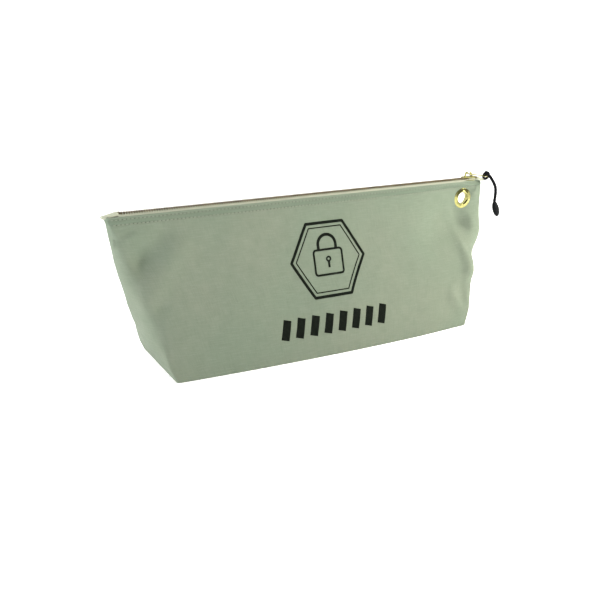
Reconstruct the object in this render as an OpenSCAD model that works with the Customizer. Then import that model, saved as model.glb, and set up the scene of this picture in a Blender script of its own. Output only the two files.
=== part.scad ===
// Canvas zipper pouch with a boxed floor, a brass zip, a grommet and a cord pull.
// Origin at the centre of the floor: +X along the zip to its closed end, +Y to the back, +Z up.

/* [Canvas body] */
// Length along the zip, end to end
top_length = 457; // [330:1:700]
// Depth of the boxed floor
floor_depth = 102; // [60:1:180]
// Height of the zip above the floor
bag_height = 161; // [120:1:260]
// Thickness of the canvas
canvas_t = 1.2; // [0.8:0.1:2]
// Half of the gap between the two hem folds
fold_y = 5.5; // [5:0.1:12]
// Drop from the zip to the hem folds
fold_drop = 3.2; // [3:0.1:10]

/* [Zip] */
// Pitch of one row of teeth
tooth_pitch = 2.5; // [2:0.1:4]
// Half of the chain's width
chain_half = 2.9; // [2.4:0.1:4]
// Thickness of the teeth
tooth_t = 2.4; // [1.6:0.1:3]
// Thickness of the zip tape
tape_t = 0.6; // [0.4:0.1:1]
// Depth that the tape reaches down behind the hem
tape_tuck = 7; // [4:0.5:15]
// Length of each stop along the zip
stop_len = 2.6; // [2:0.1:5]
// Length of the canvas tab over the zip's left end
left_tab_len = 15.5; // [8:0.5:25]
// Length of the canvas tab over the zip's right end
right_tab_len = 11.5; // [6:0.5:20]

/* [Slider] */
// Length of the slider
slider_len = 17; // [14:0.5:24]
// Thickness of the slider's top and bottom plates
slider_plate = 1; // [0.8:0.1:2]
// Half of the slider's width
slider_half = 4.3; // [4:0.1:6]
// Height of the window inside the bail
bail_window = 4.2; // [3.6:0.1:7]
// Thickness of the bail
bail_t = 1.2; // [1:0.1:2]

/* [Pull] */
// Length of the pull tab from its pivot to its end
tab_len = 27.7; // [20:0.1:45]
// Width of the pull tab
tab_width = 5.8; // [5.2:0.1:9]
// Thickness of the pull tab
tab_t = 1.2; // [0.8:0.1:2]
// Angle at which the tab lies below the level
tab_droop = 10; // [0:1:14]
// Diameter of the pull's cord
cord_d = 3.6; // [2:0.1:4]
// Length of the moulded tip
tip_len = 18; // [12:0.5:30]
// Largest radius of the moulded tip
tip_r = 4.3; // [3:0.1:6]

/* [Grommet] */
// Radius of the grommet's hole
grommet_r = 6.35; // [4:0.05:8]
// Radius of the grommet's flange and washer
flange_r = 11.9; // [10:0.1:14]
// Distance of the grommet from the right end of the zip
grommet_inset = 31; // [22:0.5:60]
// Distance of the grommet below the zip
grommet_drop = 22.4; // [20:0.1:40]
// Thickness of the grommet's brass
brass_t = 0.9; // [0.8:0.1:2]

/* [Hem] */
// Distance of the upper stitch row below the hem fold
row_upper = 1.6; // [1.5:0.1:2.6]
// Distance of the lower stitch row below the hem fold
row_lower = 6.4; // [5:0.1:20]
// Width of the thread
thread_w = 0.6; // [0.3:0.1:1]

/* [Hidden] */

$fn = 48;
// Space between two bodies that move past each other
body_gap = 0.4;
// Space between a tooth and what slides over it
chain_gap = 0.35;
// Height of the zip above the top faces of the end tabs
tab_drop = 1.6;
// Space between the two canvas layers at the grommet
pinch_gap = 0.6;
// Radial space round the grommet's barrel
barrel_gap = 0.1;
// Sheet thickness of the grommet's barrel
barrel_t = 0.65;

top_half = top_length / 2;
floor_half = (top_length - floor_depth) / 2;
depth_half = floor_depth / 2;
fold_z = bag_height - fold_drop;
tuck_z = fold_z - tape_tuck;
// Sideways lean of the ends for each millimetre of height
end_lean = (top_half - floor_half) / bag_height;

// Outer and inner faces of the two walls, as distances from the middle plane
function outer_y(z) = depth_half - (depth_half - fold_y - canvas_t) * z / fold_z;
function inner_y(z) = outer_y(z) - canvas_t;
// Outer face of the two ends, as a distance from the middle
function end_x(z) = floor_half + end_lean * z;

// The grommet and the corner that it presses flat
grommet_x = top_half - grommet_inset;
grommet_z = bag_height - grommet_drop;
corner_x = grommet_x - flange_r - 7;
corner_low = grommet_z - flange_r - 8;
corner_high = fold_z - row_upper - thread_w - 1;
layer_y = pinch_gap / 2 + canvas_t;

// The zip, from its left stop to its right stops
zip_left = -top_half + left_tab_len;
zip_right = top_half - right_tab_len;
nose_x = zip_right - stop_len - 2 * body_gap;
teeth_left = zip_left + stop_len + 2 * body_gap;
diamond_len = 4;
teeth_right = nose_x - diamond_len - 2 * body_gap - 1;
tooth_w = tooth_pitch / 2 - chain_gap;
tooth_overlap = 0.5;
teeth = floor((teeth_right - teeth_left) / tooth_pitch);

// The slider, over and under the chain
plate_low = bag_height - tooth_t / 2 - chain_gap;
plate_high = bag_height + tooth_t / 2 + chain_gap;
slider_top = plate_high + slider_plate;
keel_half = chain_half + 0.2;
flange_drop = 0.5;

// The bail, the pull tab and the loop of cord
pivot_x = nose_x - slider_len / 2;
bail_reach = 3.8;
bail_half = 1.1;
pin_r = 0.8;
pivot_z = slider_top + bail_window - pin_r - 0.75;
eye_len = 6.4;
arm_w = tab_width / 2 - bail_half - 0.5;
loop_bar = 1.6;
cord_hole_r = cord_d / 2 + 0.6;
cord_hole_at = tab_len - loop_bar - cord_hole_r;
loop_at = tab_len - loop_bar / 2;
loop_r = loop_at - cord_hole_at;

// Centre of the loop of cord when the tab hangs
loop_x = pivot_x + loop_at * cos(tab_droop);
loop_z = pivot_z - loop_at * sin(tab_droop);
// The right end tab stops clear of the loop of cord that hangs over it
right_tab_end = loop_x - loop_r - cord_d / 2 - body_gap;
// Middle line of the cord from the loop's centre, and then in the bag's frame
ROUTE = [
  [0, 0, 3.2], [0, -3, 3], [-0.2, -7, 1.3], [-0.9, -12, -1.5], [-2.3, -18, -5.2],
  [-3.7, -22.5, -8.9], [-5, -25, -13], [-5.7, -26, -17.5], [-6.2, -26, -22], [-6.4, -26, -26]
];
CORD = [for (p = ROUTE) p + [loop_x, 0, loop_z]];
cord_sides = 8;
tip_tilt = 21;

canvas_colour = [0.62, 0.66, 0.57];
tape_colour = [0.77, 0.79, 0.71];
brass_colour = [0.72, 0.62, 0.32];
black_colour = [0.08, 0.08, 0.09];

// A solid with the given YZ outline, as long as the bag
module along_x(outline, from = -top_half, to = top_half) {
  translate([from, 0, 0])
    rotate([90, 0, 90])
      linear_extrude(height = to - from)
        polygon(outline);
}

// Everything between the two leaning ends, taken in by a margin
module between_ends(margin = 0) {
  rotate([90, 0, 0])
    linear_extrude(height = 2 * floor_depth, center = true)
      polygon([
        [-end_x(0) + margin, 0], [end_x(0) - margin, 0],
        [end_x(bag_height) - margin, bag_height], [-end_x(bag_height) + margin, bag_height]
      ]);
}

// Block round the pinched corner, open to the right
module corner_block() {
  translate([corner_x, -depth_half, corner_low])
    cube([top_half, floor_depth, corner_high - corner_low]);
}

// One leaning wall on the -Y side
module wall() {
  color(canvas_colour)
    difference() {
      intersection() {
        along_x([
          [-outer_y(0), 0], [-inner_y(0), 0],
          [-inner_y(fold_z), fold_z], [-outer_y(fold_z), fold_z]
        ]);
        between_ends();
      }
      corner_block();
    }
}

module front_panel() {
  wall();
}

module back_panel() {
  mirror([0, 1, 0])
    wall();
}

module floor_panel() {
  color(canvas_colour)
    translate([-end_x(0) + 2 * canvas_t, -inner_y(canvas_t) + body_gap, 0])
      cube([
        2 * (end_x(0) - 2 * canvas_t),
        2 * (inner_y(canvas_t) - body_gap), canvas_t
      ]);
}

// One end on the +X side, up to a height
module gusset(top_z) {
  color(canvas_colour)
    difference() {
      intersection() {
        along_x([
          [-inner_y(0) + body_gap, 0], [inner_y(0) - body_gap, 0],
          [inner_y(top_z) - body_gap, top_z], [-inner_y(top_z) + body_gap, top_z]
        ], 0, top_half);
        between_ends();
      }
      between_ends(canvas_t);
    }
}

module left_end() {
  mirror([1, 0, 0])
    gusset(tuck_z - body_gap);
}

module right_end() {
  gusset(corner_low - body_gap);
}

module grommet_corner() {
  color(canvas_colour)
    difference() {
      intersection() {
        for (side = [-1, 1])
          translate([corner_x + body_gap, side * (pinch_gap + canvas_t) / 2 - canvas_t / 2, corner_low])
            cube([top_half, canvas_t, corner_high - body_gap - corner_low]);
        between_ends();
      }
      translate([grommet_x, 0, grommet_z])
        rotate([90, 0, 0])
          cylinder(r = grommet_r + barrel_t + barrel_gap, h = 4 * layer_y, center = true);
    }
}

// One zip tape on the -Y side, from the chain down behind the hem
module tape(from, to) {
  color(tape_colour)
    along_x([
      [-chain_half, bag_height + tape_t / 2], [-fold_y, fold_z],
      [-inner_y(tuck_z), tuck_z], [-inner_y(tuck_z) + tape_t, tuck_z],
      [-fold_y + tape_t, fold_z], [-chain_half, bag_height - tape_t / 2]
    ], from, to);
}

module front_tape() {
  tape(zip_left, zip_right);
}

module back_tape() {
  mirror([0, 1, 0])
    tape(teeth_left, zip_right);
}

// One row of teeth, reaching a little past the middle of the chain
module tooth_row(offset, side) {
  color(brass_colour)
    for (i = [0 : teeth - 1])
      translate([
        teeth_left + offset + i * tooth_pitch,
        side > 0 ? -tooth_overlap : -chain_half,
        bag_height - tooth_t / 2
      ])
        cube([tooth_w, chain_half + tooth_overlap, tooth_t]);
}

module front_teeth() {
  tooth_row(0, -1);
}

module back_teeth() {
  tooth_row(tooth_pitch / 2, 1);
}

module bottom_stop() {
  color(brass_colour)
    translate([zip_left + body_gap, -chain_half, plate_low])
      cube([stop_len, 2 * chain_half, plate_high - plate_low]);
}

// One stop on the -Y side of the zip's right end
module top_stop() {
  color(brass_colour)
    translate([nose_x + body_gap, -chain_half, bag_height - tooth_t / 2])
      cube([stop_len, chain_half - body_gap, tooth_t]);
}

module front_top_stop() {
  top_stop();
}

module back_top_stop() {
  mirror([0, 1, 0])
    top_stop();
}

// One folded canvas tab over the end of the zip
module end_tab(from, to) {
  color(canvas_colour)
    translate([from, -chain_half - 1, bag_height - tab_drop - canvas_t])
      cube([to - from, 2 * (chain_half + 1), canvas_t]);
}

module left_end_tab() {
  end_tab(-top_half, zip_left - body_gap);
}

module right_end_tab() {
  end_tab(zip_right + body_gap, right_tab_end);
}

// One line of thread on the outer face of the front wall, a distance below the fold
module thread_row(below, to) {
  high = fold_z - below;
  low = high - thread_w;
  proud = thread_w / 2;
  color(tape_colour)
    along_x([
      [-outer_y(high), high], [-outer_y(high) - proud, high],
      [-outer_y(low) - proud, low], [-outer_y(low), low]
    ], -end_x(low) + canvas_t, to);
}

module hem_thread() {
  thread_row(row_upper, end_x(fold_z - row_upper - thread_w) - canvas_t);
  thread_row(row_lower, corner_x - body_gap);
}

module front_hem_thread() {
  hem_thread();
}

module back_hem_thread() {
  mirror([0, 1, 0])
    hem_thread();
}

module slider_body() {
  color(brass_colour) {
    // Top plate
    translate([nose_x - slider_len, -slider_half, plate_high])
      cube([slider_len, 2 * slider_half, slider_plate]);
    // Bottom plate, between the two tapes
    translate([nose_x - slider_len, -keel_half, plate_low - slider_plate])
      cube([slider_len, 2 * keel_half, slider_plate]);
    // Flanges at the sides of the top plate
    for (side = [-1, 1])
      translate([nose_x - slider_len, side * (slider_half - 0.45) - 0.45, plate_high - flange_drop])
        cube([slider_len, 0.9, slider_plate + flange_drop]);
    // Post that joins the plates and parts the two rows
    translate([nose_x - diamond_len - 1, -0.9, plate_low - slider_plate])
      cube([diamond_len, 1.8, plate_high - plate_low + 2 * slider_plate]);
  }
}

module slider_bail() {
  color(brass_colour)
    difference() {
      translate([pivot_x - bail_reach - bail_t, -bail_half, slider_top])
        cube([2 * (bail_reach + bail_t), 2 * bail_half, bail_window + bail_t]);
      translate([pivot_x - bail_reach, -2 * bail_half, slider_top - 1])
        cube([2 * bail_reach, 4 * bail_half, bail_window + 1]);
    }
}

module pull_tab() {
  color(brass_colour)
    translate([pivot_x, 0, pivot_z])
      rotate([0, tab_droop, 0]) {
        // Pin under the bail
        rotate([90, 0, 0])
          cylinder(r = pin_r, h = tab_width, center = true);
        // Arms on both sides of the bail
        for (side = [-1, 1])
          translate([0, side * (tab_width - arm_w) / 2 - arm_w / 2, -tab_t / 2])
            cube([eye_len + 0.5, arm_w, tab_t]);
        // Flat of the tab, with the hole for the cord
        difference() {
          translate([eye_len, -tab_width / 2, -tab_t / 2])
            cube([tab_len - eye_len, tab_width, tab_t]);
          translate([cord_hole_at, 0, 0])
            cylinder(r = cord_hole_r, h = 2 * tab_t, center = true);
        }
      }
}

// Loop of cord through the tab's hole and round its end
module cord_loop() {
  color(black_colour)
    translate([pivot_x, 0, pivot_z])
      rotate([0, tab_droop, 0])
        translate([loop_at, 0, 0])
          rotate([90, 0, 0])
            rotate_extrude()
              translate([loop_r, 0])
                circle(r = cord_d / 2);
}

// Direction of the cord at one of its points
function cord_way(i) =
  let (a = CORD[max(i - 1, 0)], b = CORD[min(i + 1, len(CORD) - 1)])
  (b - a) / norm(b - a);
// Ring of points round one point of the cord
function cord_ring(i) =
  let (
    way = cord_way(i),
    across = cross(way, [1, 0, 0]) / norm(cross(way, [1, 0, 0])),
    up = cross(way, across)
  )
  [for (s = [0 : cord_sides - 1])
    CORD[i] + cord_d / 2 * (cos(360 * s / cord_sides) * across + sin(360 * s / cord_sides) * up)];

module pull_cord() {
  rings = len(CORD);
  color(black_colour)
    polyhedron(
      points = [for (i = [0 : rings - 1]) each cord_ring(i)],
      faces = [
        [for (s = [0 : cord_sides - 1]) s],
        [for (s = [cord_sides - 1 : -1 : 0]) (rings - 1) * cord_sides + s],
        for (i = [0 : rings - 2])
          for (s = [0 : cord_sides - 1])
            let (a = i * cord_sides, b = (s + 1) % cord_sides)
              [a + s, a + cord_sides + s, a + cord_sides + b, a + b]
      ]
    );
}

module cord_tip() {
  end = CORD[len(CORD) - 1];
  color(black_colour)
    translate([end[0], end[1], end[2]])
      rotate([0, 180 - tip_tilt, 0])
        rotate_extrude()
          polygon([
            [0, 0], [cord_d / 2 + 0.9, 0], [tip_r - 0.5, 0.15 * tip_len], [tip_r, 0.45 * tip_len],
            [tip_r - 0.6, 0.8 * tip_len], [tip_r / 2, tip_len], [0, tip_len]
          ]);
}

// A ring or a tube about the grommet's axis, from one depth to another
module about_grommet(outer_r, hole_r, from, to) {
  translate([grommet_x, to, grommet_z])
    rotate([90, 0, 0])
      difference() {
        cylinder(r = outer_r, h = to - from);
        translate([0, 0, -1])
          cylinder(r = hole_r, h = to - from + 2);
      }
}

module grommet_eyelet() {
  back = layer_y + brass_t + barrel_t;
  color(brass_colour) {
    about_grommet(flange_r, grommet_r, -layer_y - brass_t, -layer_y);
    about_grommet(grommet_r + barrel_t, grommet_r, -layer_y - brass_t, back);
    // Lip rolled over the washer
    about_grommet(grommet_r + 3 * barrel_t, grommet_r, layer_y + brass_t, back);
  }
}

module grommet_washer() {
  color(brass_colour)
    about_grommet(flange_r, grommet_r + barrel_t + barrel_gap, layer_y, layer_y + brass_t);
}

front_panel();
back_panel();
floor_panel();
left_end();
right_end();
grommet_corner();
front_tape();
back_tape();
front_teeth();
back_teeth();
bottom_stop();
front_top_stop();
back_top_stop();
left_end_tab();
right_end_tab();
front_hem_thread();
back_hem_thread();
slider_body();
slider_bail();
pull_tab();
cord_loop();
pull_cord();
cord_tip();
grommet_eyelet();
grommet_washer();
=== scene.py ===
from math import cos, pi, radians, sin, sqrt

import bmesh
import bpy
import numpy as np
from mathutils import Matrix, Vector, noise


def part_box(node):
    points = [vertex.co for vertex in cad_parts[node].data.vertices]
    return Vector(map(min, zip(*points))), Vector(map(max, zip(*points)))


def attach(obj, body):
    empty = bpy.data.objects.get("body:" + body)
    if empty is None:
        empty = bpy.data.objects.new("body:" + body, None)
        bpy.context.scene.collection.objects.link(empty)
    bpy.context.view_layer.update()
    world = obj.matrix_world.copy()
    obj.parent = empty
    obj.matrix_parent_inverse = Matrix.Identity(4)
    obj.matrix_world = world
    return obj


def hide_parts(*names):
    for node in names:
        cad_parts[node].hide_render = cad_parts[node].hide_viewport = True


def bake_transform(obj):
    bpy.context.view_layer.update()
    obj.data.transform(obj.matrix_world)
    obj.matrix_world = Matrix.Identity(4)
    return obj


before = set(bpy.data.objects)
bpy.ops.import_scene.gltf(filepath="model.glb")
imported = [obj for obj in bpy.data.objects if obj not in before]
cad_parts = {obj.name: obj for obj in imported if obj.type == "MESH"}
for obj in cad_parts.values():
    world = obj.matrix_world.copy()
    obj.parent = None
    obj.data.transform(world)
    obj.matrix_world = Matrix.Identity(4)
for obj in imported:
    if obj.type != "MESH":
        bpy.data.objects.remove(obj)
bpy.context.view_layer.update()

# ---- sizes and places, in metres
MM = 0.001


def lo(node):
    """Low corner of a node's box in the CAD."""
    return Vector(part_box(node)[0])


def hi(node):
    return Vector(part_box(node)[1])


def middle(node):
    return (lo(node) + hi(node)) / 2


CLOTH = 0.9 * MM                          # thickness of the canvas
TOP_HALF = hi("right_end_tab").x          # half of the bag's whole length
DEPTH_HALF = -lo("front_panel").y         # half of the floor's depth
FLOOR_HALF = TOP_HALF - DEPTH_HALF
FOLD_Z = hi("front_panel").z              # height of the hem's fold
FOLD_Y = 1.2 * MM - hi("front_panel").y   # outer face of the hem at the fold
ZIP_Z = middle("front_teeth").z           # middle plane of the chain
ZIP_LEFT, ZIP_RIGHT = lo("front_tape").x, hi("front_tape").x
CHAIN_HALF = -lo("front_teeth").y
GROMMET = middle("grommet_eyelet")
FLANGE_R = (hi("grommet_washer").x - lo("grommet_washer").x) / 2
HEM_ROWS = (1.6 * MM, 6.4 * MM)           # the two stitch rows, below the fold
PINCH_Y = 1.9 * MM                        # outer face of the canvas where the grommet presses it flat
PULL_CORD = [                             # the cord's route, as in the CAD, in millimetres
    (231.6, 0, 164.7), (231.6, -3, 164.5), (231.4, -7, 162.8), (230.7, -12, 160),
    (229.3, -18, 156.3), (227.9, -22.5, 152.6), (226.6, -25, 148.5), (225.9, -26, 144),
    (225.4, -26, 139.5), (225.2, -26, 135.5),
]
CORD_D = 3.6 * MM
YARN_U, YARN_V = 0.95 * MM, 0.85 * MM     # pitches of the canvas's yarns
TOOTH_PITCH, TOOTH_WIDTH = 2.5 * MM, 0.9 * MM
TAB_DROOP = radians(10)                   # how far the pull tab hangs below level
HOLE_R = 6.35 * MM                        # radius of the grommet's hole
TIP_LENGTH, TIP_TILT = 18 * MM, radians(21)   # of the moulded tip; it tilts from straight down
LEANS_TO, LIES_FLAT = 0.066, 0.126        # heights between which the right end closes flat


# ---- small maths
def smooth(a, b, x):
    t = np.clip((np.asarray(x, float) - a) / (b - a), 0, 1)
    return t * t * (3 - 2 * t)


def mix(a, b, t):
    return a + (b - a) * t


def unit(v):
    return v / np.maximum(np.linalg.norm(v, axis=-1, keepdims=True), 1e-12)


def perlin(points, size, seed):
    """Smooth noise at each point, about -0.5 to 0.5, with features of the given size."""
    shift = Vector((17.3 * seed, -9.1 * seed, 5.7 * seed))
    return np.array([noise.noise(Vector(p) / size + shift) for p in points])


def arc(x, y, radius, start, end, count=20):
    """Points on a round arc, from one angle to another, in degrees."""
    turns = np.radians(np.linspace(start, end, count))
    return [(x + radius * cos(t), y + radius * sin(t)) for t in turns]


def superellipse(turn, power):
    """Point at an angle on a rounded square of half width 1, which a higher power makes squarer."""
    c, s = cos(turn), sin(turn)
    r = (abs(c) ** power + abs(s) ** power) ** (-1 / power)
    return r * c, r * s


def along_line(line):
    """Distance from the first point of a line to each of its points."""
    return np.concatenate([[0], np.cumsum(np.linalg.norm(np.diff(line, axis=0), axis=1))])


def sampled(places, at, line):
    """Points of a line at some distances along it. at holds the distances of its own points."""
    return np.stack([np.interp(places, at, column) for column in np.transpose(line)], 1)


def from_segment(points, a, b):
    """Distance of each point from the segment between a and b."""
    a, b = np.array(a), np.array(b)
    t = np.clip((points - a) @ (b - a) / ((b - a) @ (b - a)), 0, 1)
    return np.linalg.norm(points - a - t[:, None] * (b - a), axis=1)


def spline(points, step):
    """Even points about a step apart on a smooth curve through the given ones."""
    p = np.array(points, float)
    p = np.concatenate([[2 * p[0] - p[1]], p, [2 * p[-1] - p[-2]]])
    t = np.linspace(0, 1, 17)[:-1, None]
    curve = [
        0.5 * (2 * b + (c - a) * t + (2 * a - 5 * b + 4 * c - d) * t ** 2 + (3 * b - a - 3 * c + d) * t ** 3)
        for a, b, c, d in zip(p, p[1:], p[2:], p[3:])
    ]
    curve = np.concatenate(curve + [p[-2:-1]])
    at = along_line(curve)
    return sampled(np.linspace(0, at[-1], max(2, round(at[-1] / step) + 1)), at, curve)


# ---- camera, floor and light
def in_scene(name, data):
    """A new object in the scene, of a mesh, light or camera."""
    made = bpy.data.objects.new(name, data)
    bpy.context.scene.collection.objects.link(made)
    return made


def set_camera():
    """The photo's own view: its direction, lens, distance and the place it is aimed at."""
    azimuth, elevation, roll = radians(28.56), radians(18.95), radians(0.64)
    back = Vector((-sin(azimuth) * cos(elevation), -cos(azimuth) * cos(elevation), sin(elevation)))
    flat = Vector((cos(azimuth), -sin(azimuth), 0))
    rise = back.cross(flat)
    right = flat * cos(roll) + rise * sin(roll)
    up = rise * cos(roll) - flat * sin(roll)
    aim = Vector((0, 0, 0.080)) - 0.01452 * right - 0.03570 * up
    data = bpy.data.cameras.new("camera")
    data.lens = 49.8
    data.sensor_width = 36
    data.clip_start = 0.01
    camera = in_scene("camera", data)
    turned = Matrix((right, up, back)).transposed().to_4x4()
    camera.matrix_world = Matrix.Translation(aim + 0.90195 * back) @ turned
    bpy.context.scene.camera = camera


def area_light(name, place, size, power, colour=(1, 1, 1)):
    """A round light that faces the middle of the bag."""
    data = bpy.data.lights.new(name, "AREA")
    data.shape = "DISK"
    data.size = size
    data.energy = power
    data.color = colour
    light = in_scene(name, data)
    light.location = place
    toward = Vector(place) - Vector((0, 0, ZIP_Z / 2))
    light.rotation_euler = toward.to_track_quat("Z", "Y").to_euler()


def set_stage():
    """A paper sweep: a floor that bends up into a wall far behind. It glows a little, and more far away."""
    reach, bend_y, bend, drop = 14.0, 1.6, 0.9, 0.2 * MM
    line = [(-reach, 0.0), (bend_y, 0.0)]
    line += [(bend_y + bend * sin(a), bend * (1 - cos(a))) for a in np.linspace(0.1, pi / 2, 12)]
    line += [(bend_y + bend, reach)]
    points = [(x, y, z - drop) for y, z in line for x in (-reach, reach)]
    faces = [(2 * i, 2 * i + 1, 2 * i + 3, 2 * i + 2) for i in range(len(line) - 1)]
    mesh = bpy.data.meshes.new("floor")
    mesh.from_pydata(points, [], faces)
    mesh.shade_smooth()
    paper = Shader("paper", Roughness=0.95, Specular_IOR_Level=0.05)
    paper.base.inputs["Emission Color"].default_value = (1, 1, 1, 1)
    away = paper.node("VectorMath", operation="LENGTH")
    paper.feed(away.inputs[0], paper.place())
    glow = paper.remap(away.outputs["Value"], 0.25, 1.3, 0.50, 1.0)
    paper.feed(paper.base.inputs["Emission Strength"], glow)
    paper.base.inputs["Base Color"].default_value = (0.93, 0.93, 0.93, 1)
    mesh.materials.append(paper.material)
    in_scene("floor", mesh)


def set_lights():
    """A large soft top light, a key on the right and a weaker light on the left end, in a dim grey room."""
    world = bpy.context.scene.world or bpy.data.worlds.new("world")
    bpy.context.scene.world = world
    world.use_nodes = True
    tree = world.node_tree
    room = tree.nodes["Background"]
    split = tree.nodes.new("ShaderNodeSeparateXYZ")
    tree.links.new(tree.nodes.new("ShaderNodeTexCoord").outputs["Generated"], split.inputs[0])
    rise = tree.nodes.new("ShaderNodeMapRange")
    tree.links.new(split.outputs["Z"], rise.inputs["Value"])
    for name, value in (("From Min", -0.1), ("From Max", 0.9), ("To Min", 0.03), ("To Max", 0.22)):
        rise.inputs[name].default_value = value
    tree.links.new(rise.outputs["Result"], room.inputs["Strength"])
    room.inputs["Color"].default_value = (1.0, 1.0, 1.0, 1)
    area_light("top", (0.3, 0.5, 2.4), 1.6, 26)
    area_light("key", (0.78, -0.46, 0.50), 0.3, 13, (1.0, 0.96, 0.87))
    area_light("side", (-1.3, -0.25, 0.45), 0.4, 10)


# ---- materials
class Shader:
    """A material's node tree, with short calls for the nodes that this scene uses."""

    def __init__(self, name, **sockets):
        self.material = bpy.data.materials.new(name)
        self.material.use_nodes = True
        self.tree = self.material.node_tree
        self.base = self.tree.nodes["Principled BSDF"]
        for socket, value in sockets.items():
            self.base.inputs[socket.replace("_", " ")].default_value = value

    def node(self, kind, **settings):
        made = self.tree.nodes.new("ShaderNode" + kind)
        for key, value in settings.items():
            setattr(made, key, value)
        return made

    def feed(self, socket, value):
        if isinstance(value, tuple):
            socket.default_value = (*value, 1)
        elif isinstance(value, (int, float)):
            socket.default_value = value
        else:
            self.tree.links.new(value, socket)

    def wire(self, made, **inputs):
        for name, value in inputs.items():
            self.feed(made.inputs[name.replace("_", " ")], value)

    def colour(self, value):
        self.feed(self.base.inputs["Base Color"], value)

    def normal(self, value):
        self.feed(self.base.inputs["Normal"], value)

    def place(self):
        return self.node("TexCoord").outputs["Object"]

    def cut(self):
        """The UV map in metres, and its two parts."""
        uv = self.node("UVMap", uv_map="cut").outputs[0]
        split = self.node("SeparateXYZ")
        self.feed(split.inputs[0], uv)
        return uv, split.outputs[0], split.outputs[1]

    def math(self, operation, *values):
        made = self.node("Math", operation=operation)
        for socket, value in zip(made.inputs, values):
            self.feed(socket, value)
        return made.outputs[0]

    def ridges(self, value, pitch):
        """Rows of round ridges, one for each pitch of the value."""
        return self.math("ABSOLUTE", self.math("SINE", self.math("MULTIPLY", value, pi / pitch)))

    def noise(self, where, scale, detail=3.0, roughness=0.55):
        made = self.node("TexNoise")
        self.wire(made, Scale=scale, Detail=detail, Roughness=roughness, Vector=where)
        return made.outputs["Fac"]

    def stretch(self, where, scale):
        made = self.node("Mapping")
        made.inputs["Scale"].default_value = scale
        self.feed(made.inputs["Vector"], where)
        return made.outputs["Vector"]

    def remap(self, value, low, high, to_low, to_high):
        made = self.node("MapRange")
        self.wire(made, Value=value, From_Min=low, From_Max=high, To_Min=to_low, To_Max=to_high)
        return made.outputs["Result"]

    def mix(self, factor, a, b):
        made = self.node("Mix", data_type="RGBA")
        for socket, value in ((made.inputs[0], factor), (made.inputs[6], a), (made.inputs[7], b)):
            self.feed(socket, value)
        return made.outputs[2]

    def bump(self, height, strength, distance, normal=None):
        made = self.node("Bump")
        self.wire(made, Strength=strength, Distance=distance, Height=height)
        if normal is not None:
            self.feed(made.inputs["Normal"], normal)
        return made.outputs["Normal"]

    def weave(self, u, v):
        """Height of the canvas's plain weave."""
        across, along = self.ridges(u, YARN_U), self.ridges(v, YARN_V)
        cells = [self.math("FLOOR", self.math("DIVIDE", at, yarn)) for at, yarn in ((u, YARN_U), (v, YARN_V))]
        count = self.math("ADD", *cells)
        over = self.math("PINGPONG", count, 1.0)
        warp = self.math("MULTIPLY", self.math("POWER", across, 0.6), self.math("ADD", along, 0.25))
        weft = self.math("MULTIPLY", self.math("POWER", along, 0.6), self.math("ADD", across, 0.25))
        under = self.math("SUBTRACT", 1.0, over)
        return self.math("ADD", self.math("MULTIPLY", warp, over), self.math("MULTIPLY", weft, under))


def canvas_material(hem):
    """Natural duck canvas. With hem, the doubled band above the lower stitch row is darkened with painted
    shade, and its fold is lightened with a painted highlight."""
    name = "hemmed_canvas" if hem else "canvas"
    s = Shader(name, Roughness=0.92, Specular_IOR_Level=0.12, Sheen_Weight=0.06, Sheen_Roughness=0.5)
    uv, u, v = s.cut()
    place = s.place()
    threads = s.weave(u, v)
    slubs_u = s.noise(s.stretch(uv, (70, 900, 1)), 1.0, 2.0)
    slubs_v = s.noise(s.stretch(uv, (900, 70, 1)), 1.0, 2.0)
    mottle = s.noise(place, 90, 4.0, 0.6)
    clouds = s.noise(place, 11, 2.0, 0.5)
    tone = s.mix(s.remap(clouds, 0.38, 0.62, 0, 1), (0.198, 0.244, 0.181), (0.221, 0.253, 0.191))
    tone = s.mix(s.remap(mottle, 0.35, 0.68, 0, 0.35), tone, (0.170, 0.211, 0.152))
    tone = s.mix(s.remap(slubs_u, 0.45, 0.75, 0, 0.40), tone, (0.275, 0.314, 0.249))
    tone = s.mix(s.remap(slubs_v, 0.45, 0.75, 0, 0.35), tone, (0.146, 0.188, 0.134))
    if hem:
        # painted shade over the doubled, puckered band of the hem
        band = s.remap(v, -HEM_ROWS[1] - 0.8 * MM, -HEM_ROWS[1], 0.0, 0.42)
        tone = s.mix(band, tone, (0.124, 0.175, 0.124))
        # painted highlight along the rolled fold of the hem
        edge = s.remap(v, -0.9 * MM, 0.2 * MM, 0.0, 0.4)
        tone = s.mix(edge, tone, (0.287, 0.332, 0.261))
    # painted shade: the canvas is darker in the hollows between its yarns
    tone = s.mix(s.remap(threads, 0.0, 0.9, 0.45, 0.0), tone, (0.100, 0.127, 0.091))
    s.colour(tone)
    fine = s.bump(threads, 0.55, 0.25 * MM)
    s.normal(s.bump(s.math("ADD", slubs_u, slubs_v), 0.35, 0.3 * MM, fine))
    return s.material


def tape_material():
    """Cream herringbone tape."""
    s = Shader("zip_tape", Roughness=0.85, Specular_IOR_Level=0.2, Sheen_Weight=0.15)
    uv, u, v = s.cut()
    zigzag = s.math("PINGPONG", s.math("DIVIDE", v, 1.6 * MM), 1.0)
    twill = s.ridges(s.math("ADD", s.math("DIVIDE", u, 0.55 * MM), s.math("MULTIPLY", zigzag, 3.0)), 1.0)
    # painted shade: the tape is darker in the grooves of its twill and lighter on its ridges
    tone = s.mix(twill, (0.34, 0.36, 0.27), (0.50, 0.52, 0.41))
    s.colour(s.mix(s.remap(s.noise(uv, 400, 3.0), 0.4, 0.7, 0, 0.3), tone, (0.38, 0.39, 0.29)))
    s.normal(s.bump(twill, 0.5, 0.2 * MM))
    return s.material


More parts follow.
